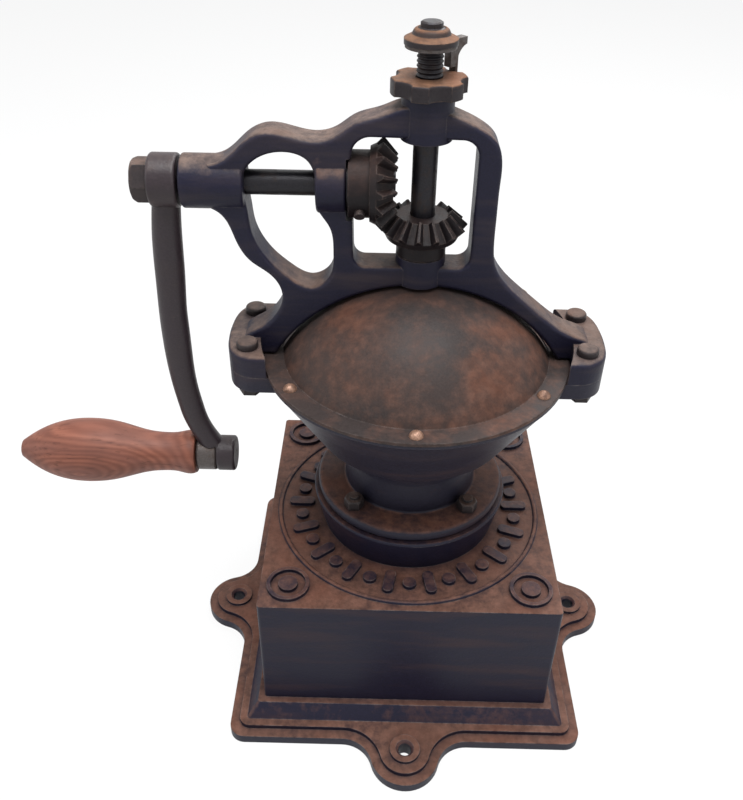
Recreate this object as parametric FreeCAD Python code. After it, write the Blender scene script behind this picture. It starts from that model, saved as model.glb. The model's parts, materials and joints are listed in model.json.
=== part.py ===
import FreeCAD, Part
import math
import os

V = FreeCAD.Vector
X = V(1, 0, 0)
Y = V(0, 1, 0)
Z = V(0, 0, 1)

# Longer than the whole mill, for holes and cuts that go right through
THROUGH = 1000.0

# Base casting, a square iron box on a moulded foot with four screw-down lugs
BASE_WIDTH = 167.6
BASE_TOP_Z = 97.3
BASE_CORNER_R = 2.0
BASE_WALL = 6.0
FOOT_REACH = 19.8
FOOT_WIDTH = BASE_WIDTH + 2 * FOOT_REACH
FOOT_CORNER_R = 9.0
FOOT_EDGE_H = 6.0
FOOT_STEP_INSET = 5.5
FOOT_STEP_H = 3.0
FOOT_STEP_Z = FOOT_EDGE_H + FOOT_STEP_H
FOOT_COVE_H = 8.0
FOOT_LEDGE_W = 3.7
FOOT_COVE_Z = FOOT_STEP_Z + FOOT_COVE_H
FLOOR_T = 6.0
BASE_FLOOR = FOOT_COVE_Z + 1.0
LUG_OUT = 8.1
LUG_CIRCLE_R = FOOT_WIDTH / 2 + LUG_OUT
LUG_R = 20.0
LUG_FILLET_R = 18.0
LUG_HOLE_R = 3.8
LUG_BOSS_R = LUG_HOLE_R + 5.0
LUG_BOSS_Z = FOOT_STEP_Z + 2.0
LUG_SINK = 1.5
COLLAR_LAP = 2.5
COLLAR_H = 22.7
COLLAR_FOOT_R = 52.0
COLLAR_EDGE_R = 1.5

# Hopper
NECK_R = 38.0
NECK_H = 20.0
NECK_FILLET_R = 1.6
FLANGE_SCREW_R = 2.8
FLANGE_HEAD_AF = 10.0
FLANGE_HEAD_H = 6.0
FLANGE_SCREW_OUT = 1.8
FLANGE_HEAD_GAP = 0.1
FLANGE_BOLT_R = NECK_R + NECK_FILLET_R + 0.58 * FLANGE_HEAD_AF + FLANGE_HEAD_GAP
FLANGE_BOLT_IN = 9.0
FLANGE_R = FLANGE_BOLT_R + FLANGE_BOLT_IN
FLANGE_T = 6.5
FLANGE_EDGE_R = 2.6
COLLAR_R = FLANGE_R + COLLAR_LAP
COLLAR_TOP_Z = BASE_TOP_Z + COLLAR_H
FLANGE_TOP_Z = COLLAR_TOP_Z + FLANGE_T
BOWL_EDGE_R = 55.5
BOWL_EDGE_H = 39.5
RIM_R = 82.0
HOPPER_H = 84.5
RIM_TOP_Z = FLANGE_TOP_Z + HOPPER_H
RIM_LIP_H = 3.0
BOWL_WALL = 5.0
LID_LEDGE_W = 4.0
LID_LEDGE_R = RIM_R - 9.0
LID_LEDGE_DEPTH = 4.0
EAR_OUT = 18.0
EAR_X = RIM_R + EAR_OUT
EAR_HALF_Y = 29.0
EAR_H = 9.0

# Raised ornament on the base top
RELIEF_H = 2.4
RIM_BEAD_INSET = 5.3
RIM_BEAD_R = BASE_WIDTH / 2 - RIM_BEAD_INSET
RIM_BEAD_HALF = 1.5
ROUNDEL_R = 12.0
ROUNDEL_INSET = 16.0
ROUNDEL_AT = BASE_WIDTH / 2 - ROUNDEL_INSET
ORNAMENT_R = (COLLAR_FOOT_R + RIM_BEAD_R) / 2
ORNAMENT_COUNT = 18
ORNAMENT_MARGIN = 5.5
BAR_LENGTH = RIM_BEAD_R - COLLAR_FOOT_R - 2 * ORNAMENT_MARGIN
BAR_WIDTH = 6.0
ORNAMENT_BEAD_R = 3.8

# Drawer at the back of the base
DRAWER_SIDE_ROOM = 11.8
DRAWER_HEADROOM = 12.0
DRAWER_BACK_ROOM = 11.6
DRAWER_GAP = 1.0
DRAWER_LIFT = 0.3
DRAWER_WIDTH = BASE_WIDTH - 2 * (BASE_WALL + DRAWER_SIDE_ROOM)
DRAWER_HEIGHT = BASE_TOP_Z - BASE_WALL - BASE_FLOOR - DRAWER_HEADROOM
DRAWER_LENGTH = BASE_WIDTH - BASE_WALL - DRAWER_BACK_ROOM
DRAWER_WALL = 3.0
DRAWER_FRONT_T = 5.0
DRAWER_FRONT_LAP = 5.0
KNOB_R = 11.0
KNOB_LENGTH = 20.0
KNOB_SCREW_R = 2.5
KNOB_NUT_T = 4.0
KNOB_NUT_AF = 9.0

# Burrs
BURR_SEAT_R = 29.0
BURR_H = 24.0
BURR_SEAT_TOP_Z = COLLAR_TOP_Z + BURR_H
BURR_LIP = 5.0
BURR_LAP = 2.0
GROUNDS_HOLE_R = BURR_SEAT_R - BURR_LAP
THROAT_R = BURR_SEAT_R - BURR_LIP
OUTER_BURR_LOW_R = BURR_SEAT_R - 3.5
OUTER_BURR_TOP_R = BURR_SEAT_R - 7.0
BURR_GAP = 2.0
INNER_BURR_LOW_R = OUTER_BURR_LOW_R - BURR_GAP
INNER_BURR_TOP_R = 11.0
INNER_BURR_H = 34.0
INNER_BURR_DROP = 4.0
INNER_BURR_LOW_Z = COLLAR_TOP_Z - INNER_BURR_DROP
INNER_BURR_TOP_Z = INNER_BURR_LOW_Z + INNER_BURR_H
INNER_BURR_BAND = 5.0
BURR_FLUTES = 12
BURR_PIN_R = 1.5
BURR_NUT_AF = 19.0
BURR_NUT_H = 8.0

# Two-part dome over the hopper
DOME_FLANGE_R = RIM_R + 0.2
DOME_FLANGE_T = 1.8
DOME_R = RIM_R
DOME_DROP = 38.4
DOME_CENTRE_Z = RIM_TOP_Z - DOME_DROP
DOME_WALL = 2.6
LID_GAP = 0.6
LID_WALL = 2.0
LID_LAP = 5.0
LID_SEAT_GAP = 0.3
RIVET_IN = 6.0
RIVET_CIRCLE_R = RIM_R - RIVET_IN
RIVET_ANGLES = (-58.0, -1.0, 57.0)
RIVET_HEAD_R = 3.6
RIVET_SHANK_R = 1.8
RIVET_GRIP = 5.0
LID_KNOB_ANGLE = 24.0
LID_KNOB_RISE = 43.0
LID_KNOB_R = 5.5
LID_KNOB_H = 12.0
LID_STEM_R = 2.0

# Bridge carrying the shafts. Its outline is drawn in hundredths of its half span and of its
# rise, the rise being set by the arch that clears the dome.
BRIDGE_T = 18.0
BRIDGE_EDGE_R = 2.0
ARCH_GAP = 1.2
ARCH_SIDE_GAP = 5.1
ARCH_R = DOME_R + ARCH_SIDE_GAP
ARCH_TOP_Z = DOME_CENTRE_Z + DOME_R + ARCH_GAP
BRIDGE_RISE = (ARCH_TOP_Z - RIM_TOP_Z) / 0.448
PAD_TIP = 6.0
WEB_END_DROP = 5.0
BRIDGE_OUT = 18.0
BRIDGE_HALF = RIM_R + BRIDGE_OUT
PAD_T = 12.5
PAD_TOP_Z = RIM_TOP_Z + PAD_T
PAD_GAP = 1.0
PAD_INNER_R = RIM_R + PAD_GAP
PAD_CLEARANCE = 0.4
PAD_EDGE_R = 2.5
EAR_BOLT_OUT = 6.2
EAR_BOLT_X = RIM_R + EAR_BOLT_OUT
EAR_BOLT_Y = 18.0
EAR_BOLT_R = 3.2
EAR_HEAD_R = 5.6
EAR_HEAD_H = 4.0
EAR_HEAD_EDGE_R = 1.6
EAR_NUT_AF = 11.0
EAR_NUT_H = 6.0
TOP_BOSS_R = 12.2
TOP_BOSS_LOW_Z = RIM_TOP_Z + 1.18 * BRIDGE_RISE
TOP_BOSS_Z = RIM_TOP_Z + 1.385 * BRIDGE_RISE
LOW_BOSS_R = 12.5
LOW_BOSS_Z = RIM_TOP_Z + 0.597 * BRIDGE_RISE
LEFT_BOSS_R = 13.0
LEFT_BOSS_OUT = -1.16 * BRIDGE_HALF
LEFT_BOSS_IN = -0.856 * BRIDGE_HALF
RIGHT_BOSS_R = 14.0
RIGHT_BOSS_OUT = -0.515 * BRIDGE_HALF
RIGHT_BOSS_IN = -0.37 * BRIDGE_HALF

# Shafts and running fits
SHAFT_R = 6.0
RUN_GAP = 0.05
SHAFT_PASS_R = SHAFT_R + 1.6
CRANK_Z = RIM_TOP_Z + 0.95 * BRIDGE_RISE
SPINDLE_TAIL = 12.0
SPINDLE_LOW_Z = INNER_BURR_LOW_Z - SPINDLE_TAIL
THREAD_PITCH = 2.0
THREAD_DEPTH = 0.7

# Mitre bevel gears, alike, apexes meeting where the shaft axes cross
GEAR_TEETH = 15
GEAR_PITCH_R = 21.0
GEAR_ADDENDUM = 1.9
GEAR_DEDENDUM = 2.4
GEAR_FACE = 10.5
TOOTH_HALF_TIP = 0.75
TOOTH_HALF_PITCH = 1.45
TOOTH_HALF_ROOT = 2.2
GEAR_HUB_R = 12.4
DRIVE_HUB_R = 16.0
DRIVE_HUB_GAP = 1.5
GEAR_BACK = 3.2
GEAR_THRUST_GAP = 0.3
THRUST_WASHER_T = 0.8
THRUST_WASHER_GAP = 0.2
GEAR_HUB_BACK_X = RIGHT_BOSS_IN + THRUST_WASHER_T + THRUST_WASHER_GAP
KEY_WIDTH = 3.0
KEY_OUT = 2.0
KEY_IN = 2.0
KEY_GAP = 0.1
SET_SCREW_R = 2.6
SET_SCREW_PROUD = 2.3
SET_SCREW_IN = 5.5

# Adjusting nut and its lock
STAR_R = 17.5
STAR_LOBES = 6
STAR_NOTCH_R = 7.5
STAR_NOTCH_DEPTH = 2.9
STAR_GAP = 0.2
STAR_T = 7.1
STAR_EDGE_R = 1.2
STAR_LOW_Z = TOP_BOSS_Z + STAR_GAP
STAR_TOP_Z = STAR_LOW_Z + STAR_T
THREAD_SHOWN = 12.4
CLAW_WASHER_R = 11.5
CLAW_WASHER_LOW_Z = STAR_TOP_Z + THREAD_SHOWN
CLAW_WASHER_T = 1.4
CLAW_ANGLE = 45.0
CLAW_WIDTH = 4.0
CLAW_BITE = 3.0
CLAW_OUT = 4.5
CLAW_LIFT = 1.9
CLAW_DEPTH = 5.0
CLAW_DROP = 3.2
CLAW_IN = 1.0
CONE_NUT_R = 12.0
CONE_NUT_BODY_R = SHAFT_R + 2.6
CONE_NUT_TOP_R = SHAFT_R + 0.6
CONE_NUT_LIP = 2.4
CONE_NUT_H = 6.6
CONE_NUT_LOW_Z = CLAW_WASHER_LOW_Z + CLAW_WASHER_T
CONE_NUT_TOP_Z = CONE_NUT_LOW_Z + CONE_NUT_H
SPINDLE_TIP_R = SHAFT_R - 1.0
SPINDLE_TIP_H = 2.8
SPINDLE_TOP_Z = CONE_NUT_TOP_Z + SPINDLE_TIP_H
THREAD_LOW_Z = TOP_BOSS_Z - 2 * THREAD_PITCH
THREAD_TOP_Z = CONE_NUT_LOW_Z + CONE_NUT_LIP

# Crank
HUB_R = 13.0
HUB_GAP = 1.2
HUB_W = 14.0
HUB_IN_X = LEFT_BOSS_OUT - HUB_GAP
HUB_OUT_X = HUB_IN_X - HUB_W
CRANK_NUT_H = 8.2
CRANK_NUT_AF = 19.0
CRANK_NUT_X = HUB_OUT_X - CRANK_NUT_H
CRANK_THROW = 169.5
GRIP_Z = CRANK_Z - CRANK_THROW
ARM_HALF_W = 7.5
ARM_HALF_T = 5.9
ARM_JOG = 13.7
ARM_BOSS_W = 10.8
ARM_BOSS_R = 10.5
ARM_BOSS_IN = HUB_IN_X + ARM_JOG
ARM_BOSS_OUT = ARM_BOSS_IN - ARM_BOSS_W
FERRULE_W = 11.8
FERRULE_R = 10.3
FERRULE_X = ARM_BOSS_OUT - FERRULE_W
SPOT_GAP = 0.3
GRIP_END_GAP = 0.6
GRIP_LENGTH = 103.5
GRIP_R = 18.9
GRIP_IN_X = FERRULE_X - GRIP_END_GAP
GRIP_OUT_X = GRIP_IN_X - GRIP_LENGTH
GRIP_SPINDLE_R = 3.2
GRIP_HEAD_R = GRIP_SPINDLE_R + 1.0
GRIP_HEAD_T = 2.5
GRIP_HEAD_SINK = 0.4
GRIP_HEAD_GAP = 0.3
SOFT_EDGE_R = 1.5


def box(x0, y0, z0, x1, y1, z1):
    return Part.makeBox(x1 - x0, y1 - y0, z1 - z0, V(x0, y0, z0))


def post(r, z0, z1, x=0.0, y=0.0):
    return Part.makeCylinder(r, z1 - z0, V(x, y, z0), Z)


def rod(r, x0, x1, z=CRANK_Z):
    return Part.makeCylinder(r, x1 - x0, V(x0, 0, z), X)


def rounded_rod(r, x0, x1, z=CRANK_Z):
    shape = rod(r, x0, x1, z)
    return shape.makeFillet(SOFT_EDGE_R, shape.Edges)


def turned(profile):
    """Solid of revolution about Z from (radius, z) corners."""
    points = [V(r, 0, z) for r, z in profile]
    return Part.Face(Part.makePolygon(points + points[:1])).revolve(V(0, 0, 0), Z, 360)


def turn_wire(edges):
    """Solid of revolution about Z from a closed wire in the XZ plane."""
    return Part.Face(Part.Wire(edges)).revolve(V(0, 0, 0), Z, 360)


def line(a, b):
    return Part.makeLine(V(*a), V(*b))


def arc(a, b, c):
    return Part.Arc(V(*a), V(*b), V(*c)).toShape()


def spline(points):
    curve = Part.BSplineCurve()
    curve.interpolate([V(*p) for p in points])
    return curve.toShape()


def rounded(corners):
    """Closed wire through corners (point, radius), each corner an arc."""
    edges = []
    ends = []
    count = len(corners)
    for i in range(count):
        before = V(*corners[i - 1][0])
        here = V(*corners[i][0])
        after = V(*corners[(i + 1) % count][0])
        r = corners[i][1]
        u = (before - here).normalize()
        w = (after - here).normalize()
        half = u.getAngle(w) / 2
        start = here + u * (r / math.tan(half))
        end = here + w * (r / math.tan(half))
        mid = here + (u + w).normalize() * (r / math.sin(half) - r)
        edges.append(Part.Arc(start, mid, end).toShape())
        ends.append((start, end))
    lines = []
    for i in range(count):
        lines.append(edges[i])
        lines.append(Part.makeLine(ends[i][1], ends[(i + 1) % count][0]))
    return Part.Wire(lines)


def slab(half_x, half_y, r, z0, z1, centre=(0.0, 0.0)):
    """Upright block with rounded vertical corners."""
    cx, cy = centre
    spots = [(-half_x, -half_y), (half_x, -half_y), (half_x, half_y), (-half_x, half_y)]
    wire = rounded([((cx + a, cy + b, z0), r) for a, b in spots])
    return Part.Face(wire).extrude(V(0, 0, z1 - z0))


def hexagon(across, z0, z1, x=0.0, y=0.0):
    r = across / math.sqrt(3)
    points = [V(x + r * math.cos(math.radians(60 * k)), y + r * math.sin(math.radians(60 * k)), z0)
              for k in range(7)]
    return Part.Face(Part.makePolygon(points)).extrude(V(0, 0, z1 - z0))


def spun(shape, angle, axis=Z, centre=V(0, 0, 0)):
    out = shape.copy()
    out.rotate(centre, axis, angle)
    return out


def fused(shapes):
    return shapes[0].multiFuse(shapes[1:]).removeSplitter()


def foot_outline(inset, z):
    """Square foot with a rounded lug on each side, drawn in from its edge by inset."""
    f = FOOT_WIDTH / 2 - inset
    lug = LUG_R - inset
    cove = LUG_FILLET_R + inset
    corner = FOOT_CORNER_R - inset * 0.5
    cove_x = math.sqrt((lug + cove) ** 2 - (f + cove - LUG_CIRCLE_R) ** 2)
    k = lug / (lug + cove)
    touch = (cove_x * k, LUG_CIRCLE_R + (f + cove - LUG_CIRCLE_R) * k)
    cx, cy = cove_x, f + cove
    d = V(touch[0] - cx, touch[1] - cy, 0) + V(0, -cove, 0)
    d = d.normalize() * cove
    c = corner * (1 - math.sqrt(0.5))
    edges = []
    for side in range(4):
        run = [line((f - corner, -f, z), (cove_x, -f, z)),
               arc((cove_x, -f, z), (cx + d.x, -(cy + d.y), z), (touch[0], -touch[1], z)),
               arc((touch[0], -touch[1], z), (0, -(LUG_CIRCLE_R + lug), z), (-touch[0], -touch[1], z)),
               arc((-touch[0], -touch[1], z), (-cx - d.x, -(cy + d.y), z), (-cove_x, -f, z)),
               line((-cove_x, -f, z), (-f + corner, -f, z)),
               arc((-f + corner, -f, z), (-f + c, -f + c, z), (-f, -f + corner, z))]
        edges += [spun(e, -90 * side) for e in run]
    return Part.Wire(Part.__sortEdges__(edges))


def foot():
    low = Part.Face(foot_outline(0, 0)).extrude(V(0, 0, FOOT_EDGE_H))
    step = Part.Face(foot_outline(FOOT_STEP_INSET, FOOT_EDGE_H)).extrude(V(0, 0, FOOT_STEP_H))
    half = BASE_WIDTH / 2
    wide = half + FOOT_REACH / 2

    def ring(h, z):
        spots = [(-h, -h), (h, -h), (h, h), (-h, h)]
        return rounded([((a, b, z), BASE_CORNER_R) for a, b in spots])

    cove = Part.makeLoft([ring(wide, FOOT_STEP_Z), ring(half + FOOT_LEDGE_W, FOOT_COVE_Z)], True, True)
    parts = [low, step, cove]
    for k in range(4):
        boss = post(LUG_BOSS_R, FOOT_EDGE_H, LUG_BOSS_Z, 0, -LUG_CIRCLE_R)
        parts.append(spun(boss, 90 * k))
    return parts


def roundel(x, y):
    rim = post(ROUNDEL_R, BASE_TOP_Z - 1, BASE_TOP_Z + RELIEF_H, x, y)
    rim = rim.cut(post(ROUNDEL_R * 0.82, BASE_TOP_Z - 2, BASE_TOP_Z + RELIEF_H + 1, x, y))
    button = post(ROUNDEL_R * 0.45, BASE_TOP_Z - 1, BASE_TOP_Z + RELIEF_H, x, y)
    return [rim, button]


def ornament():
    bead = Part.makeTorus(RIM_BEAD_R, RIM_BEAD_HALF, V(0, 0, BASE_TOP_Z))
    parts = [bead]
    for sx in (-1, 1):
        for sy in (-1, 1):
            parts += roundel(sx * ROUNDEL_AT, sy * ROUNDEL_AT)
    step = 360.0 / ORNAMENT_COUNT
    bar = slab(BAR_LENGTH / 2, BAR_WIDTH / 2, BAR_WIDTH * 0.45, BASE_TOP_Z - 1,
               BASE_TOP_Z + RELIEF_H, (ORNAMENT_R, 0))
    dot = post(ORNAMENT_BEAD_R, BASE_TOP_Z - 1, BASE_TOP_Z + RELIEF_H, ORNAMENT_R, 0)
    for k in range(ORNAMENT_COUNT):
        parts.append(spun(bar, step * k))
        parts.append(spun(dot, step * (k + 0.5)))
    return parts


def drawer_bay():
    w = DRAWER_WIDTH / 2 + DRAWER_GAP
    top = BASE_FLOOR + DRAWER_HEIGHT + 2 * DRAWER_GAP
    return box(-w, 0, BASE_FLOOR, w, BASE_WIDTH, top)


def collar():
    """Round seat for the hopper, flaring upwards from the base top to a rounded edge."""
    e = COLLAR_EDGE_R
    c = e * (1 - math.sqrt(0.5))
    low = BASE_TOP_Z - 1
    top = COLLAR_TOP_Z
    edges = [line((0, 0, low), (COLLAR_FOOT_R, 0, low)),
             line((COLLAR_FOOT_R, 0, low), (COLLAR_R, 0, top - e)),
             arc((COLLAR_R, 0, top - e), (COLLAR_R - c, 0, top - c), (COLLAR_R - e, 0, top)),
             line((COLLAR_R - e, 0, top), (0, 0, top)),
             line((0, 0, top), (0, 0, low))]
    return turn_wire(edges)


def base_housing():
    half = BASE_WIDTH / 2
    inner = half - BASE_WALL
    walls = slab(half, half, BASE_CORNER_R, 0, BASE_TOP_Z)
    body = fused(foot() + [walls, collar()])
    body = body.fuse(ornament()).removeSplitter()
    hollow = slab(inner, inner, 3.0, BASE_FLOOR, BASE_TOP_Z - BASE_WALL)
    recess = slab(inner, inner, 3.0, -1, BASE_FLOOR - FLOOR_T)
    cuts = [hollow, recess, drawer_bay(), post(GROUNDS_HOLE_R, BASE_TOP_Z - BASE_WALL - 1, COLLAR_TOP_Z + 1)]
    for k in range(4):
        hole = post(LUG_HOLE_R, -1, LUG_BOSS_Z + 1, 0, -LUG_CIRCLE_R)
        mouth = V(0, -LUG_CIRCLE_R, LUG_BOSS_Z - LUG_SINK)
        sink = Part.makeCone(LUG_HOLE_R, LUG_HOLE_R + LUG_SINK, LUG_SINK, mouth, Z)
        cuts.append(spun(hole, 90 * k))
        cuts.append(spun(sink, 90 * k))
    for x, y in flange_spots():
        cuts.append(post(FLANGE_SCREW_R, BASE_TOP_Z - BASE_WALL - 1, COLLAR_TOP_Z + 1, x, y))
    return body.cut(cuts)


def flange_spots():
    a = FLANGE_BOLT_R * math.sqrt(0.5)
    return [(sx * a, sy * a) for sx in (-1, 1) for sy in (-1, 1)]


def ear_spots():
    return [(sx * EAR_BOLT_X, sy * EAR_BOLT_Y) for sx in (-1, 1) for sy in (-1, 1)]


def drawer_y():
    """Inner and outer ends of the drawer, its front lying on the back wall."""
    out = BASE_WIDTH / 2
    return out - DRAWER_LENGTH, out


def drawer_tray():
    y0, y1 = drawer_y()
    w = DRAWER_WIDTH / 2
    z0 = BASE_FLOOR + DRAWER_LIFT
    z1 = z0 + DRAWER_HEIGHT
    t = DRAWER_WALL
    tray = box(-w, y0, z0, w, y1, z1)
    tray = tray.cut(box(-w + t, y0 + t, z0 + t, w - t, y1 - t, z1 + 1))
    return tray.cut(knob_screw_hole())


def drawer_front():
    y1 = drawer_y()[1]
    w = DRAWER_WIDTH / 2 + DRAWER_FRONT_LAP
    z0 = BASE_FLOOR + DRAWER_LIFT
    z1 = BASE_FLOOR + DRAWER_HEIGHT + DRAWER_FRONT_LAP + 1.0
    spots = [(-w, z0), (w, z0), (w, z1), (-w, z1)]
    plate = Part.Face(rounded([((a, y1 + DRAWER_LIFT, b), DRAWER_FRONT_LAP * 0.8) for a, b in spots]))
    plate = plate.extrude(V(0, DRAWER_FRONT_T, 0))
    link = box(-DRAWER_WIDTH / 2, y1, z0, DRAWER_WIDTH / 2, y1 + DRAWER_LIFT, BASE_FLOOR + DRAWER_HEIGHT)
    return plate.fuse(link).cut(knob_screw_hole()).removeSplitter()


def knob_height():
    return BASE_FLOOR + DRAWER_HEIGHT * 0.55


def knob_screw_hole():
    y1 = drawer_y()[1]
    return Part.makeCylinder(KNOB_SCREW_R, THROUGH, V(0, y1 - 3 * DRAWER_WALL, knob_height()), Y)


def drawer_knob():
    y = drawer_y()[1] + DRAWER_LIFT + DRAWER_FRONT_T
    r = KNOB_R
    h = KNOB_LENGTH
    edges = [line((0, 0, 0), (r * 0.65, 0, 0)),
             spline([(r * 0.65, 0, 0), (r * 0.45, 0, h * 0.25), (r * 0.8, 0, h * 0.48), (r, 0, h * 0.65),
                     (r * 0.78, 0, h * 0.9), (0, 0, h)]),
             line((0, 0, h), (0, 0, 0))]
    knob = turn_wire(edges)
    knob.rotate(V(0, 0, 0), X, -90)
    knob.translate(V(0, y, knob_height()))
    tail = drawer_y()[1] - DRAWER_WALL - 2 * KNOB_NUT_T
    screw = Part.makeCylinder(KNOB_SCREW_R, y - tail, V(0, tail, knob_height()), Y)
    return knob.fuse(screw)


def drawer_knob_nut():
    y = drawer_y()[1] - DRAWER_WALL
    nut = hexagon(KNOB_NUT_AF, 0, KNOB_NUT_T).cut(post(KNOB_SCREW_R, -1, KNOB_NUT_T + 1))
    nut.rotate(V(0, 0, 0), X, 90)
    nut.translate(V(0, y, knob_height()))
    return nut


def hopper_profile():
    """Half section of the hopper: foot flange, neck, flared bowl, lip, and the hollow inside."""
    low = RIM_TOP_Z - RIM_LIP_H
    ledge = RIM_TOP_Z - LID_LEDGE_DEPTH
    mouth = LID_LEDGE_R - LID_LEDGE_W
    neck = FLANGE_TOP_Z + NECK_H
    edge = FLANGE_TOP_Z + BOWL_EDGE_H
    rise = edge - neck
    flare = BOWL_EDGE_R - NECK_R
    f = FLANGE_EDGE_R
    n = NECK_FILLET_R
    c = 1 - math.sqrt(0.5)
    throat = THROAT_R + 2.0
    outside = [line((BURR_SEAT_R, 0, COLLAR_TOP_Z), (FLANGE_R - f, 0, COLLAR_TOP_Z)),
               arc((FLANGE_R - f, 0, COLLAR_TOP_Z), (FLANGE_R - c * f, 0, COLLAR_TOP_Z + c * f),
                   (FLANGE_R, 0, COLLAR_TOP_Z + f)),
               line((FLANGE_R, 0, COLLAR_TOP_Z + f), (FLANGE_R, 0, FLANGE_TOP_Z - f)),
               arc((FLANGE_R, 0, FLANGE_TOP_Z - f), (FLANGE_R - c * f, 0, FLANGE_TOP_Z - c * f),
                   (FLANGE_R - f, 0, FLANGE_TOP_Z)),
               line((FLANGE_R - f, 0, FLANGE_TOP_Z), (NECK_R + n, 0, FLANGE_TOP_Z)),
               arc((NECK_R + n, 0, FLANGE_TOP_Z), (NECK_R + c * n, 0, FLANGE_TOP_Z + c * n),
                   (NECK_R, 0, FLANGE_TOP_Z + n)),
               line((NECK_R, 0, FLANGE_TOP_Z + n), (NECK_R, 0, neck)),
               spline([(NECK_R, 0, neck), (NECK_R + 0.16 * flare, 0, neck + 0.45 * rise),
                       (NECK_R + 0.6 * flare, 0, neck + 0.85 * rise), (BOWL_EDGE_R, 0, edge)]),
               line((BOWL_EDGE_R, 0, edge), (RIM_R - 1.0, 0, low)),
               line((RIM_R - 1.0, 0, low), (RIM_R, 0, low + 0.4 * RIM_LIP_H)),
               line((RIM_R, 0, low + 0.4 * RIM_LIP_H), (RIM_R, 0, RIM_TOP_Z))]
    inside = [line((RIM_R, 0, RIM_TOP_Z), (LID_LEDGE_R, 0, RIM_TOP_Z)),
              line((LID_LEDGE_R, 0, RIM_TOP_Z), (LID_LEDGE_R, 0, ledge)),
              line((LID_LEDGE_R, 0, ledge), (mouth, 0, ledge)),
              line((mouth, 0, ledge), (BOWL_EDGE_R - 1.3 * BOWL_WALL, 0, edge)),
              line((BOWL_EDGE_R - 1.3 * BOWL_WALL, 0, edge), (throat, 0, neck + BOWL_WALL)),
              line((throat, 0, neck + BOWL_WALL), (THROAT_R, 0, BURR_SEAT_TOP_Z)),
              line((THROAT_R, 0, BURR_SEAT_TOP_Z), (BURR_SEAT_R, 0, BURR_SEAT_TOP_Z)),
              line((BURR_SEAT_R, 0, BURR_SEAT_TOP_Z), (BURR_SEAT_R, 0, COLLAR_TOP_Z))]
    return outside + inside


def ear_face(inner, z):
    """Right-hand ear seen from above: straight sides and a bowed outer end."""
    w = EAR_X - RIM_R
    h = EAR_HALF_Y
    half = [(0.17, 1.0), (0.47, 0.945), (0.735, 0.81), (0.9, 0.6), (0.985, 0.25)]
    bow = [(RIM_R + u * w, -v * h, z) for u, v in half] + [(EAR_X, 0, z)]
    bow += [(RIM_R + u * w, v * h, z) for u, v in reversed(half)]
    edges = [spline(bow), line(bow[-1], (inner, h, z)), line((inner, h, z), (inner, -h, z)),
             line((inner, -h, z), bow[0])]
    return Part.Face(Part.Wire(edges))


def hopper():
    bowl = turn_wire(hopper_profile())
    low = RIM_TOP_Z - EAR_H
    ear = ear_face(0.5 * RIM_R, low).extrude(V(0, 0, EAR_H))
    ear = ear.cut(post(LID_LEDGE_R + 1.0, low - 1, RIM_TOP_Z + 1))
    body = fused([bowl, ear, spun(ear, 180)])
    cuts = [post(FLANGE_SCREW_R, COLLAR_TOP_Z - 1, FLANGE_TOP_Z + 1, x, y) for x, y in flange_spots()]
    cuts += [post(EAR_BOLT_R, RIM_TOP_Z - EAR_H - 1, RIM_TOP_Z + 1, x, y) for x, y in ear_spots()]
    cuts += [post(RIVET_SHANK_R, RIM_TOP_Z - RIVET_GRIP, RIM_TOP_Z + 1, x, y) for x, y in rivet_spots()]
    return body.cut(cuts)


def hopper_bolt(x, y):
    r = FLANGE_HEAD_AF * 0.63
    body = FLANGE_HEAD_H * 0.65
    head = hexagon(FLANGE_HEAD_AF, FLANGE_TOP_Z, FLANGE_TOP_Z + FLANGE_HEAD_H, x, y)
    crown = Part.makeCone(r, r * 0.65, FLANGE_HEAD_H / 2, V(x, y, FLANGE_TOP_Z + body), Z)
    head = head.common(post(r, FLANGE_TOP_Z, FLANGE_TOP_Z + body, x, y).fuse(crown))
    end = FLANGE_TOP_Z + FLANGE_HEAD_H + FLANGE_SCREW_OUT
    return head.fuse(post(FLANGE_SCREW_R, BASE_TOP_Z - BASE_WALL - FLANGE_HEAD_H, end, x, y))


def hopper_bolts():
    return Part.makeCompound([hopper_bolt(x, y) for x, y in flange_spots()])


def hopper_nuts():
    top = BASE_TOP_Z - BASE_WALL
    low = top - 0.85 * FLANGE_HEAD_H
    nuts = [hexagon(FLANGE_HEAD_AF, low, top, x, y).cut(post(FLANGE_SCREW_R, low - 1, top + 1, x, y))
            for x, y in flange_spots()]
    return Part.makeCompound(nuts)


def outer_burr():
    low = COLLAR_TOP_Z
    ring = turned([(OUTER_BURR_LOW_R, low), (BURR_SEAT_R, low), (BURR_SEAT_R, BURR_SEAT_TOP_Z),
                   (OUTER_BURR_TOP_R, BURR_SEAT_TOP_Z)])
    lean = math.degrees(math.atan2(OUTER_BURR_TOP_R - OUTER_BURR_LOW_R, BURR_H))
    flute = Part.makeCylinder(1.2, 2 * BURR_H, V(OUTER_BURR_LOW_R, 0, low - BURR_H / 3), Z)
    flute.rotate(V(OUTER_BURR_LOW_R, 0, low), Y, lean)
    return ring.cut([spun(flute, 360.0 / BURR_FLUTES * k) for k in range(BURR_FLUTES)])


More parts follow.
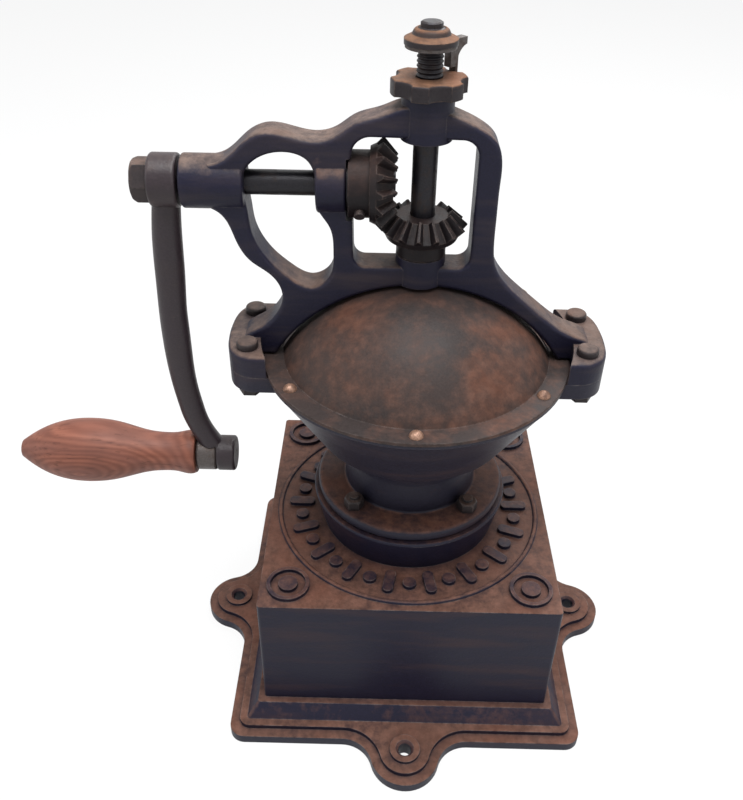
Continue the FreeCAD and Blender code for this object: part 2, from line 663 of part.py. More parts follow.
def inner_burr():
    z0 = INNER_BURR_LOW_Z
    z1 = INNER_BURR_TOP_Z
    band = z0 + INNER_BURR_BAND
    cone = turned([(SHAFT_R, z0), (INNER_BURR_LOW_R, z0), (INNER_BURR_LOW_R, band), (INNER_BURR_TOP_R, z1),
                   (SHAFT_R, z1)])
    lean = math.degrees(math.atan2(INNER_BURR_TOP_R - INNER_BURR_LOW_R, z1 - band))
    flute = Part.makeCylinder(1.8, 2 * INNER_BURR_H, V(INNER_BURR_LOW_R + 0.5, 0, z0 - INNER_BURR_H / 3), Z)
    flute.rotate(V(INNER_BURR_LOW_R + 0.5, 0, band), Y, lean)
    flute.rotate(V(INNER_BURR_LOW_R, 0, band), X, 12)
    cuts = [spun(flute, 360.0 / BURR_FLUTES * k) for k in range(BURR_FLUTES)]
    return cone.cut(cuts + [inner_burr_pin()])


def inner_burr_pin():
    z = INNER_BURR_TOP_Z - 3.5 * BURR_PIN_R
    return Part.makeCylinder(BURR_PIN_R, 2 * INNER_BURR_TOP_R, V(0, -INNER_BURR_TOP_R, z), Y)


def inner_burr_nut():
    top = INNER_BURR_LOW_Z
    return hexagon(BURR_NUT_AF, top - BURR_NUT_H, top).cut(post(SHAFT_R, top - BURR_NUT_H - 1, top + 1))


def vertical_shaft():
    profile = [(0, SPINDLE_LOW_Z), (SHAFT_R - 1, SPINDLE_LOW_Z), (SHAFT_R, SPINDLE_LOW_Z + 1)]
    z = THREAD_LOW_Z
    while z < THREAD_TOP_Z:
        profile += [(SHAFT_R, z), (SHAFT_R - THREAD_DEPTH, z + THREAD_PITCH * 0.45),
                    (SHAFT_R, z + THREAD_PITCH * 0.9)]
        z += THREAD_PITCH
    profile += [(SHAFT_R, CONE_NUT_TOP_Z - 0.2), (SPINDLE_TIP_R, CONE_NUT_TOP_Z + 0.3),
                (SPINDLE_TIP_R, SPINDLE_TOP_Z - 0.6), (SPINDLE_TIP_R - 0.9, SPINDLE_TOP_Z),
                (0, SPINDLE_TOP_Z)]
    return turned(profile).cut([inner_burr_pin(), driven_gear_key()])


def gear_seat_z():
    return LOW_BOSS_Z + GEAR_THRUST_GAP


def gear_top_z():
    return CRANK_Z - (GEAR_PITCH_R * math.sqrt(2) - GEAR_FACE) * math.sqrt(0.5)


def driven_gear_key():
    """Square key half sunk in the shaft inside the driven gear."""
    w = KEY_WIDTH / 2
    length = gear_top_z() - gear_seat_z()
    low = gear_seat_z() + 0.2 * length
    top = gear_top_z() - 0.15 * length
    return box(-w, SHAFT_R - KEY_IN, low, w, SHAFT_R + KEY_OUT, top)


def driven_gear_keyway():
    """Slot right along the gear's bore, so the shaft and its key can slide in it."""
    w = KEY_WIDTH / 2 + KEY_GAP
    return box(-w, 0, gear_seat_z() - 1, w, SHAFT_R + KEY_OUT + KEY_GAP, gear_top_z() + 1)


def gear_tooth(angle):
    """One straight bevel tooth below an apex at the origin, its edges all running to the apex."""
    far = GEAR_PITCH_R * math.sqrt(2)
    s = math.sqrt(0.5)
    along = V(s, 0, -s)
    out = V(s, 0, s)
    wires = []
    for k in (1.0, (far - GEAR_FACE) / far):
        marks = [(-TOOTH_HALF_ROOT, -GEAR_DEDENDUM - 0.5), (-TOOTH_HALF_PITCH, 0.0),
                 (-TOOTH_HALF_TIP, GEAR_ADDENDUM), (TOOTH_HALF_TIP, GEAR_ADDENDUM),
                 (TOOTH_HALF_PITCH, 0.0), (TOOTH_HALF_ROOT, -GEAR_DEDENDUM - 0.5)]
        points = [(along * far + out * h + Y * t) * k for t, h in marks]
        wires.append(Part.makePolygon(points + points[:1]))
    return spun(Part.makeLoft(wires, True, True), angle)


def bevel_gear(hub_r, hub_end, first_tooth):
    """Bevel gear about Z with its apex at the origin and its hub reaching down to hub_end."""
    far = GEAR_PITCH_R * math.sqrt(2)
    near = (far - GEAR_FACE) / far
    s = math.sqrt(0.5)
    root_r = GEAR_PITCH_R - GEAR_DEDENDUM * s
    root_z = -GEAR_PITCH_R - GEAR_DEDENDUM * s
    bore = SHAFT_R + RUN_GAP
    profile = [(bore, hub_end), (hub_r, hub_end), (hub_r, root_z - GEAR_BACK),
               (root_r - 1.5, root_z - GEAR_BACK), (root_r, root_z), (root_r * near, root_z * near),
               (bore, root_z * near)]
    teeth = [gear_tooth(first_tooth + 360.0 / GEAR_TEETH * k) for k in range(GEAR_TEETH)]
    return fused([turned(profile)] + teeth)


def driven_gear():
    gear = bevel_gear(GEAR_HUB_R, gear_seat_z() - CRANK_Z, 180.0 + 180.0 / GEAR_TEETH)
    gear.translate(V(0, 0, CRANK_Z))
    return gear.cut(driven_gear_keyway())


def drive_gear():
    gear = bevel_gear(DRIVE_HUB_R, GEAR_HUB_BACK_X, 0.0)
    gear.rotate(V(0, 0, 0), Y, 90)
    gear.translate(V(0, 0, CRANK_Z))
    return gear.cut(drive_gear_screw())


def drive_gear_screw():
    length = DRIVE_HUB_R - SHAFT_R + 1.0 + SET_SCREW_PROUD
    screw = Part.makeCylinder(SET_SCREW_R, length, V(0, 0, SHAFT_R - 1.0), Z)
    screw.rotate(V(0, 0, 0), X, 125)
    screw.translate(V(GEAR_HUB_BACK_X + SET_SCREW_IN, 0, CRANK_Z))
    return screw


def thrust_washer():
    x1 = GEAR_HUB_BACK_X
    return rod(RIGHT_BOSS_R - 1.5, x1 - THRUST_WASHER_T, x1).cut(rod(SHAFT_R + RUN_GAP, -THROUGH, 0))


def crank_shaft():
    inner = gear_top_z() - CRANK_Z
    shaft = rod(SHAFT_R, CRANK_NUT_X - 1.0, inner)
    return shaft.cut(drive_gear_screw())


def crank_arm():
    """Arm of oval section. A station is how far down the throw, how far along the jog, width, thickness."""
    stations = [(0.035, -0.03, 0.92, 1.0), (0.107, -0.125, 0.97, 1.03), (0.25, -0.24, 1.03, 1.0),
                (0.355, -0.3, 1.01, 0.98), (0.46, -0.35, 1.0, 0.98), (0.575, -0.35, 0.99, 0.97),
                (0.69, -0.3, 0.93, 0.93), (0.775, -0.185, 0.92, 0.92), (0.84, -0.06, 0.92, 0.92),
                (0.9, 0.17, 0.93, 1.0), (0.96, 0.5, 1.0, 1.17), (0.995, 0.8, 1.05, 1.25)]
    top_x = (HUB_IN_X + HUB_OUT_X) / 2
    end_x = (ARM_BOSS_IN + ARM_BOSS_OUT) / 2
    wires = []
    for down, along, wide, thick in stations:
        centre = V(top_x + along * (end_x - top_x), 0, CRANK_Z - down * CRANK_THROW)
        wires.append(Part.Wire(Part.Ellipse(centre, wide * ARM_HALF_W, thick * ARM_HALF_T).toShape()))
    blade = Part.makeLoft(wires, True, False)
    hub = rounded_rod(HUB_R, HUB_OUT_X, HUB_IN_X)
    end = rounded_rod(ARM_BOSS_R, ARM_BOSS_OUT, ARM_BOSS_IN, GRIP_Z)
    arm = fused([hub, blade, end])
    low_face = rod(FERRULE_R + SPOT_GAP, -THROUGH, ARM_BOSS_OUT, GRIP_Z)
    nut_face = rod(CRANK_NUT_AF * 0.62, -THROUGH, HUB_OUT_X)
    holes = [rod(SHAFT_R, -THROUGH, 0), rod(GRIP_SPINDLE_R, -THROUGH, 0, GRIP_Z)]
    return arm.cut(holes + [low_face, nut_face])


def crank_nut():
    nut = hexagon(CRANK_NUT_AF, 0, CRANK_NUT_H)
    cap = Part.makeSphere(CRANK_NUT_AF * 0.65, V(0, 0, CRANK_NUT_H - CRANK_NUT_AF * 0.4))
    nut = nut.common(cap)
    nut.rotate(V(0, 0, 0), Z, 30)
    nut.rotate(V(0, 0, 0), Y, -90)
    nut.translate(V(HUB_OUT_X, 0, CRANK_Z))
    return nut.cut(rod(SHAFT_R, -THROUGH, 0))


def grip_spindle():
    out = GRIP_OUT_X + GRIP_HEAD_SINK
    shaft = rod(GRIP_SPINDLE_R, out, ARM_BOSS_IN, GRIP_Z)
    head = rod(GRIP_HEAD_R, out, out + GRIP_HEAD_T, GRIP_Z)
    return shaft.fuse(head).removeSplitter()


def grip_ferrule():
    ring = rounded_rod(FERRULE_R, FERRULE_X, ARM_BOSS_OUT, GRIP_Z)
    return ring.cut(rod(GRIP_SPINDLE_R, -THROUGH, 0, GRIP_Z))


def grip():
    r = GRIP_R
    h = GRIP_LENGTH
    edges = [line((0, 0, 0), (0.64 * r, 0, 0)),
             spline([(0.64 * r, 0, 0), (0.69 * r, 0, 0.03 * h), (0.63 * r, 0, 0.1 * h),
                     (0.605 * r, 0, 0.186 * h), (0.65 * r, 0, 0.27 * h), (0.89 * r, 0, 0.44 * h),
                     (r, 0, 0.6 * h), (0.89 * r, 0, 0.78 * h), (0.65 * r, 0, 0.893 * h),
                     (0.45 * r, 0, 0.955 * h), (0.28 * r, 0, h)]),
             line((0.28 * r, 0, h), (0, 0, h)),
             line((0, 0, h), (0, 0, 0))]
    wood = turn_wire(edges)
    wood.rotate(V(0, 0, 0), Y, -90)
    wood.translate(V(GRIP_IN_X, 0, GRIP_Z))
    head_end = GRIP_OUT_X + GRIP_HEAD_SINK + GRIP_HEAD_T + GRIP_HEAD_GAP
    bores = [rod(GRIP_SPINDLE_R + RUN_GAP, -THROUGH, 0, GRIP_Z),
             rod(GRIP_HEAD_R + GRIP_HEAD_GAP, -THROUGH, head_end, GRIP_Z)]
    return wood.cut(bores)


def star_nut():
    ring = post(STAR_R, STAR_LOW_Z, STAR_TOP_Z)
    out = STAR_R + STAR_NOTCH_R - STAR_NOTCH_DEPTH
    notch = post(STAR_NOTCH_R, STAR_LOW_Z - 1, STAR_TOP_Z + 1, out, 0)
    ring = ring.cut([spun(notch, CLAW_ANGLE + 360.0 / STAR_LOBES * k) for k in range(STAR_LOBES)])
    tops = [e for e in ring.Edges if abs(e.CenterOfMass.z - STAR_TOP_Z) < 0.01]
    ring = ring.makeFillet(STAR_EDGE_R, tops)
    return ring.cut(post(SHAFT_R + RUN_GAP, STAR_LOW_Z - 1, STAR_TOP_Z + 1))


def lock_claw_washer():
    """Washer with one finger reaching out as a thumb piece and down into a notch of the star nut."""
    z0 = CLAW_WASHER_LOW_Z
    z1 = CONE_NUT_LOW_Z
    w = CLAW_WIDTH / 2
    root = CLAW_WASHER_R - CLAW_DEPTH
    back = STAR_R - CLAW_IN
    thumb = STAR_R + CLAW_OUT
    tip = back - CLAW_WASHER_T
    tip_z = STAR_TOP_Z - CLAW_BITE
    clear = STAR_TOP_Z + CLAW_LIFT
    knee = z1 - CLAW_DROP
    waist = (knee + clear) / 2
    hollow = (back + 0.3 * (thumb - back), -w, knee - 0.45 * (knee - waist))
    inner = back - CLAW_DEPTH
    edges = [line((root, -w, z0), (root, -w, z1)), line((root, -w, z1), (thumb, -w, z1)),
             line((thumb, -w, z1), (thumb, -w, knee)), arc((thumb, -w, knee), hollow, (back, -w, waist)),
             line((back, -w, waist), (back, -w, tip_z)), line((back, -w, tip_z), (tip, -w, tip_z)),
             line((tip, -w, tip_z), (tip, -w, clear)), line((tip, -w, clear), (inner, -w, clear)),
             line((inner, -w, clear), (inner, -w, z0)), line((inner, -w, z0), (root, -w, z0))]
    claw = Part.Face(Part.Wire(edges)).extrude(V(0, CLAW_WIDTH, 0))
    washer = fused([post(CLAW_WASHER_R, z0, z1), spun(claw, CLAW_ANGLE)])
    return washer.cut(post(SHAFT_R, z0 - 1, z1 + 1))


def top_cone_nut():
    z0 = CONE_NUT_LOW_Z
    z1 = CONE_NUT_TOP_Z
    h = CONE_NUT_H
    flange = z0 + CONE_NUT_LIP
    body = z0 + 0.62 * h
    edges = [line((SHAFT_R, 0, z0), (CONE_NUT_R, 0, z0)),
             line((CONE_NUT_R, 0, z0), (CONE_NUT_R, 0, flange)),
             line((CONE_NUT_R, 0, flange), (CONE_NUT_BODY_R, 0, body)),
             spline([(CONE_NUT_BODY_R, 0, body), (CONE_NUT_BODY_R - 0.3, 0, z0 + 0.74 * h),
                     (CONE_NUT_BODY_R - 0.9, 0, z0 + 0.89 * h), (CONE_NUT_TOP_R, 0, z1)]),
             line((CONE_NUT_TOP_R, 0, z1), (SHAFT_R, 0, z1)),
             line((SHAFT_R, 0, z1), (SHAFT_R, 0, z0))]
    return turn_wire(edges)


def below(z):
    return box(-THROUGH, -THROUGH, -THROUGH, THROUGH, THROUGH, z)


def dome_shell(outer, wall):
    """Hollow dome over the hopper with a hole for the shaft, down to the hopper rim."""
    centre = V(0, 0, DOME_CENTRE_Z)
    shell = Part.makeSphere(outer, centre).cut(Part.makeSphere(outer - wall, centre))
    return shell.cut(post(SHAFT_PASS_R, 0, THROUGH))


def rivet_spots():
    spots = []
    for a in RIVET_ANGLES:
        t = math.radians(a - 90.0)
        spots.append((RIVET_CIRCLE_R * math.cos(t), RIVET_CIRCLE_R * math.sin(t)))
    return spots


def front_dome():
    z0 = RIM_TOP_Z
    z1 = z0 + DOME_FLANGE_T
    inner = math.sqrt((DOME_R - DOME_WALL) ** 2 - (z0 - DOME_CENTRE_Z) ** 2)
    shell = dome_shell(DOME_R, DOME_WALL).cut(below(z0))
    flange = post(DOME_FLANGE_R, z0, z1).cut(post(inner + 0.4, z0 - 1, z1 + 1))
    dome = fused([shell, flange])
    dome = dome.cut(box(-THROUGH, 0, 0, THROUGH, THROUGH, THROUGH))
    return dome.cut([post(RIVET_SHANK_R, z0 - 1, z1 + 1, x, y) for x, y in rivet_spots()])


def rivet(x, y):
    z = RIM_TOP_Z + DOME_FLANGE_T
    ball = Part.makeSphere(RIVET_HEAD_R * 1.03, V(x, y, z - RIVET_HEAD_R * 0.25))
    return ball.cut(below(z)).fuse(post(RIVET_SHANK_R, RIM_TOP_Z - RIVET_GRIP, z, x, y))


def dome_rivets():
    return Part.makeCompound([rivet(x, y) for x, y in rivet_spots()])


def lid_outer():
    return DOME_R - DOME_WALL - LID_GAP


def rear_lid():
    z0 = RIM_TOP_Z - LID_LEDGE_DEPTH + LID_SEAT_GAP
    z1 = RIM_TOP_Z - 2 * LID_SEAT_GAP
    shell = dome_shell(lid_outer(), LID_WALL).cut(below(z0))
    inner = math.sqrt((lid_outer() - LID_WALL) ** 2 - (z0 - DOME_CENTRE_Z) ** 2)
    hem = post(LID_LEDGE_R - LID_SEAT_GAP, z0, z1).cut(post(inner + 0.3, z0 - 1, z1 + 1))
    lid = fused([shell, hem]).cut(box(-THROUGH, -THROUGH, 0, THROUGH, -LID_LAP, THROUGH))
    return lid.cut(lid_knob_stem())


def lid_knob_stem():
    low = lid_outer() - 2 * LID_WALL
    stem = Part.makeCylinder(LID_STEM_R, 2 * LID_WALL + LID_KNOB_H / 2, V(0, 0, low), Z)
    return place_on_lid(stem)


def place_on_lid(shape):
    """Stand a shape made about Z on the side of the lid."""
    out = spun(shape, 90.0 - LID_KNOB_RISE, Y)
    out.rotate(V(0, 0, 0), Z, LID_KNOB_ANGLE)
    out.translate(V(0, 0, DOME_CENTRE_Z))
    return out


def lid_knob():
    z = lid_outer()
    r = LID_KNOB_R
    h = LID_KNOB_H
    edges = [line((0, 0, z), (r * 0.6, 0, z)),
             spline([(r * 0.6, 0, z), (r * 0.5, 0, z + 0.25 * h), (r, 0, z + 0.58 * h),
                     (r * 0.7, 0, z + 0.88 * h), (0, 0, z + h)]),
             line((0, 0, z + h), (0, 0, z))]
    return place_on_lid(turn_wire(edges)).fuse(lid_knob_stem())


def spot(x, z):
    """Point of the bridge outline, in hundredths of its half span and of its rise above the rim."""
    return (x * BRIDGE_HALF / 100.0, 0, RIM_TOP_Z + z * BRIDGE_RISE / 100.0)


def bridge_edges():
    """Outer edge of the bridge casting, in the plane of the two shafts."""
    foot_z = RIM_TOP_Z + DOME_FLANGE_T + PAD_CLEARANCE
    centre = ARCH_TOP_Z - ARCH_R
    span = math.sqrt(ARCH_R ** 2 - (foot_z - centre) ** 2)
    top = PAD_TOP_Z - WEB_END_DROP
    tip = EAR_X - PAD_TIP
    right = [(tip, 0, top)]
    right += [spot(*p) for p in [(88, 14.5), (79, 18), (68, 25), (56, 35), (44, 46), (37.5, 56),
                                 (35.6, 67), (35.4, 82), (35.4, 97), (35.3, 110), (32.5, 118.5),
                                 (25.5, 124.5), (15, 129.5), (0, 134), (-13, 133.5), (-21, 130.3),
                                 (-33, 126.5), (-42, 120.5), (-50, 118.2), (-62, 120), (-74, 121.7),
                                 (-83, 118), (-92, 110), (-102, 106)]]
    left = [spot(*p) for p in [(-102, 84), (-96, 79), (-91.5, 67.5), (-85, 56.5), (-76, 49.5),
                               (-71.5, 43.5), (-70, 36), (-73, 27.5), (-79, 20.5), (-88, 15)]]
    left.append((-tip, 0, top))
    return [arc((-span, 0, foot_z), (0, 0, ARCH_TOP_Z), (span, 0, foot_z)),
            line((span, 0, foot_z), (tip, 0, foot_z)),
            line((tip, 0, foot_z), right[0]),
            spline(right),
            line(right[-1], left[0]),
            spline(left),
            line(left[-1], (-tip, 0, foot_z)),
            line((-tip, 0, foot_z), (-span, 0, foot_z))]


def bridge_face():
    """The bridge outline with its two windows, one for the crank shaft and one for the gears."""
    loop = [(-86, 91), (-82.5, 106), (-68, 112.5), (-55, 108.5), (-51.6, 97), (-51.4, 86), (-45.5, 76),
            (-43.5, 62), (-46.5, 47.5), (-55, 42.8), (-66, 48), (-76, 57.5), (-83, 71)]
    left = Part.BSplineCurve()
    left.interpolate([V(*spot(*p)) for p in loop], PeriodicFlag=True)
    r = 0.06 * BRIDGE_RISE
    middle = rounded([(spot(-33.6, 55), r), (spot(24.3, 55), r), (spot(24.3, 119.5), 1.3 * r),
                      (spot(-34.8, 120.5), 1.5 * r)])
    solid = Part.Face(Part.Wire(bridge_edges()))
    return solid.cut([Part.Face(Part.Wire(left.toShape())), Part.Face(middle)]).Faces[0]


def bridge_web():
    half = BRIDGE_T / 2
    face = bridge_face()
    face.translate(V(0, -half, 0))
    web = face.extrude(V(0, BRIDGE_T, 0))
    rims = [e for e in web.Edges if e.BoundBox.YLength < 0.01]
    return web.makeFillet(BRIDGE_EDGE_R, rims)


def bridge_pad():
    """Right-hand foot of the bridge, standing on the hopper's ear."""
    pad = ear_face(0.5 * RIM_R, RIM_TOP_Z).extrude(V(0, 0, PAD_T))
    pad = pad.cut(post(PAD_INNER_R, RIM_TOP_Z - 1, PAD_TOP_Z + 1))
    tops = [e for e in pad.Edges if e.BoundBox.ZMin > PAD_TOP_Z - 0.01 and e.BoundBox.XMax > PAD_INNER_R + 1]
    return pad.makeFillet(PAD_EDGE_R, tops)


def bridge_frame():
    top = post(TOP_BOSS_R, TOP_BOSS_LOW_Z, TOP_BOSS_Z)
    low = post(LOW_BOSS_R, ARCH_TOP_Z, LOW_BOSS_Z)
    left = rounded_rod(LEFT_BOSS_R, LEFT_BOSS_OUT, LEFT_BOSS_IN)
    right = rounded_rod(RIGHT_BOSS_R, RIGHT_BOSS_OUT, RIGHT_BOSS_IN)
    body = fused([bridge_web(), bridge_pad(), spun(bridge_pad(), 180), top, low, left, right])
    bore = SHAFT_R + RUN_GAP
    spot_face = rod(DRIVE_HUB_R + DRIVE_HUB_GAP, RIGHT_BOSS_IN, 0.7 * RIGHT_BOSS_IN)
    cuts = [post(bore, RIM_TOP_Z, THROUGH), rod(bore, -THROUGH, 0.7 * RIGHT_BOSS_IN), spot_face]
    cuts += [post(EAR_BOLT_R, RIM_TOP_Z - 1, PAD_TOP_Z + 1, x, y) for x, y in ear_spots()]
    return body.cut(cuts)


def ear_bolt(x, y):
    head = post(EAR_HEAD_R, PAD_TOP_Z, PAD_TOP_Z + EAR_HEAD_H, x, y)
    rim = [e for e in head.Edges if e.BoundBox.ZMin > PAD_TOP_Z + EAR_HEAD_H / 2]
    head = head.makeFillet(EAR_HEAD_EDGE_R, rim)
    low = RIM_TOP_Z - EAR_H - EAR_NUT_H - 1.5
    return head.fuse(post(EAR_BOLT_R, low, PAD_TOP_Z, x, y))


def bridge_bolts():
    return Part.makeCompound([ear_bolt(x, y) for x, y in ear_spots()])


def bridge_nuts():
    top = RIM_TOP_Z - EAR_H
    low = top - EAR_NUT_H
    nuts = [hexagon(EAR_NUT_AF, low, top, x, y).cut(post(EAR_BOLT_R, low - 1, top + 1, x, y))
            for x, y in ear_spots()]
    return Part.makeCompound(nuts)


MAKERS = [base_housing, drawer_tray, drawer_front, drawer_knob, drawer_knob_nut, hopper, hopper_bolts,
          hopper_nuts, outer_burr, inner_burr, inner_burr_pin, inner_burr_nut, vertical_shaft,
          driven_gear, driven_gear_key, drive_gear, drive_gear_screw, thrust_washer, crank_shaft, crank_arm,
          crank_nut, grip_spindle, grip_ferrule, grip, star_nut, lock_claw_washer, top_cone_nut,
          front_dome, dome_rivets, rear_lid, lid_knob, bridge_frame, bridge_bolts, bridge_nuts]

os.makedirs("parts", exist_ok=True)
for maker in MAKERS:
    maker().exportStep("parts/" + maker.__name__ + ".step")
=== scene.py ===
import json

import bpy
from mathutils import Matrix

CAMERA_AT = (-0.01940, -0.39511, 0.46734)
CAMERA_TURN = (0.93796, -0.01277, 0.01978)
CAMERA_LENS = 38.854
SENSOR = 36.0
FLOOR_HALF = 3.0
FLOOR_GREY = 0.86
FLOOR_GLOW_SHARE = 0.85
SKY_TINT = (0.95, 0.97, 1.0, 1.0)
SKY_STRENGTH = 0.4
WHITE = (1.0, 1.0, 1.0, 1.0)
LAMP_SIZE = 1.0
LAMP_AIM = (0.0, 0.0, 0.2)

MIX_A, MIX_B, MIX_COLOUR = 6, 7, 2
BEVEL_SAMPLES = 4
NOOK_SAMPLES = 6
NOOK_REACH = 0.007
CAST_EDGE = 0.0009
TURNED_EDGE = 0.0005
BOARD_EDGE = 0.0008
RELIEF_FADE = 0.0012

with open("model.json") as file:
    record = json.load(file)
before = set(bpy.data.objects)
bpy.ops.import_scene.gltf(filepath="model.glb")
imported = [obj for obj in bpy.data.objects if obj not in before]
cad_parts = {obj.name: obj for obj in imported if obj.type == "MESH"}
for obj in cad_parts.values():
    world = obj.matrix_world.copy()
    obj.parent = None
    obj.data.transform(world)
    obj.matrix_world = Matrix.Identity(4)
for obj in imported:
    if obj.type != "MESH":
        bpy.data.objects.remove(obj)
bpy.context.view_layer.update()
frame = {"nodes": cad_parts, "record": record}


class Graph:
    """Builds one node material, socket by socket."""

    def __init__(self, name):
        self.material = bpy.data.materials.new(name)
        self.material.use_nodes = True
        self.tree = self.material.node_tree
        self.tree.nodes.clear()
        self.out = self.tree.nodes.new("ShaderNodeOutputMaterial")
        coordinates = self.tree.nodes.new("ShaderNodeTexCoord")
        self.place = coordinates.outputs["Object"]
        self.box = coordinates.outputs["Generated"]
        self.geometry = self.tree.nodes.new("ShaderNodeNewGeometry")

    def put(self, socket, value):
        if isinstance(value, bpy.types.NodeSocket):
            self.tree.links.new(value, socket)
        else:
            socket.default_value = value

    def stretched(self, scale):
        node = self.tree.nodes.new("ShaderNodeMapping")
        self.put(node.inputs["Vector"], self.place)
        node.inputs["Scale"].default_value = scale
        return node.outputs["Vector"]

    def oval(self, centre, reach):
        """Distance from centre, a place in the piece's own box, measured with each side's reach."""
        shift = self.tree.nodes.new("ShaderNodeVectorMath")
        shift.operation = "SUBTRACT"
        self.put(shift.inputs[0], self.box)
        shift.inputs[1].default_value = centre
        size = self.tree.nodes.new("ShaderNodeVectorMath")
        size.operation = "MULTIPLY"
        self.put(size.inputs[0], shift.outputs["Vector"])
        size.inputs[1].default_value = reach
        length = self.tree.nodes.new("ShaderNodeVectorMath")
        length.operation = "LENGTH"
        self.put(length.inputs[0], size.outputs["Vector"])
        return length.outputs["Value"]

    def noise(self, scale, detail=4.0, rough=0.55, distort=0.0, place=None):
        node = self.tree.nodes.new("ShaderNodeTexNoise")
        self.put(node.inputs["Vector"], place or self.place)
        node.inputs["Scale"].default_value = scale
        node.inputs["Detail"].default_value = detail
        node.inputs["Roughness"].default_value = rough
        node.inputs["Distortion"].default_value = distort
        return node.outputs["Fac"]

    def cells(self, scale):
        node = self.tree.nodes.new("ShaderNodeTexVoronoi")
        self.put(node.inputs["Vector"], self.place)
        node.inputs["Scale"].default_value = scale
        return node.outputs["Distance"]

    def span(self, value, low, high, to_low=0.0, to_high=1.0):
        node = self.tree.nodes.new("ShaderNodeMapRange")
        self.put(node.inputs["Value"], value)
        node.inputs["From Min"].default_value = low
        node.inputs["From Max"].default_value = high
        node.inputs["To Min"].default_value = to_low
        node.inputs["To Max"].default_value = to_high
        return node.outputs["Result"]

    def math(self, kind, a, b=0.0):
        node = self.tree.nodes.new("ShaderNodeMath")
        node.operation = kind
        self.put(node.inputs[0], a)
        self.put(node.inputs[1], b)
        return node.outputs[0]

    def mix(self, share, a, b):
        node = self.tree.nodes.new("ShaderNodeMix")
        node.data_type = "RGBA"
        node.clamp_factor = True
        self.put(node.inputs["Factor"], share)
        self.put(node.inputs[MIX_A], (*a, 1.0) if isinstance(a, tuple) else a)
        self.put(node.inputs[MIX_B], (*b, 1.0) if isinstance(b, tuple) else b)
        return node.outputs[MIX_COLOUR]

    def bump(self, height, strength, depth, normal=None):
        node = self.tree.nodes.new("ShaderNodeBump")
        self.put(node.inputs["Strength"], strength)
        node.inputs["Distance"].default_value = depth
        self.put(node.inputs["Height"], height)
        if normal is not None:
            self.put(node.inputs["Normal"], normal)
        return node.outputs["Normal"]

    def soft_edge(self, radius):
        node = self.tree.nodes.new("ShaderNodeBevel")
        node.samples = BEVEL_SAMPLES
        node.inputs["Radius"].default_value = radius
        return node.outputs["Normal"]

    def edge_share(self, soft):
        """How far the softened normal leans from the true one, high along sharp edges."""
        node = self.tree.nodes.new("ShaderNodeVectorMath")
        node.operation = "DOT_PRODUCT"
        self.put(node.inputs[0], soft)
        self.put(node.inputs[1], self.geometry.outputs["Normal"])
        return self.math("SUBTRACT", 1.0, node.outputs["Value"])

    def facing_up(self):
        node = self.tree.nodes.new("ShaderNodeSeparateXYZ")
        self.put(node.inputs[0], self.geometry.outputs["Normal"])
        return node.outputs["Z"]

    def height(self):
        node = self.tree.nodes.new("ShaderNodeSeparateXYZ")
        self.put(node.inputs[0], self.place)
        return node.outputs["Z"]

    def corner_shade(self, reach):
        """1 in the open, falling towards 0 in corners and crevices, where shade is painted."""
        node = self.tree.nodes.new("ShaderNodeAmbientOcclusion")
        node.samples = NOOK_SAMPLES
        node.inputs["Distance"].default_value = reach
        return node.outputs["AO"]

    def finish(self, colour, rough, normal, metallic=0.0, specular=0.5):
        shader = self.tree.nodes.new("ShaderNodeBsdfPrincipled")
        self.put(shader.inputs["Base Color"], colour)
        self.put(shader.inputs["Roughness"], rough)
        self.put(shader.inputs["Normal"], normal)
        shader.inputs["Metallic"].default_value = metallic
        shader.inputs["Specular IOR Level"].default_value = specular
        self.put(self.out.inputs["Surface"], shader.outputs[0])
        return self.material


def scaled(colour, factor):
    return tuple(min(c * factor, 1.0) for c in colour)


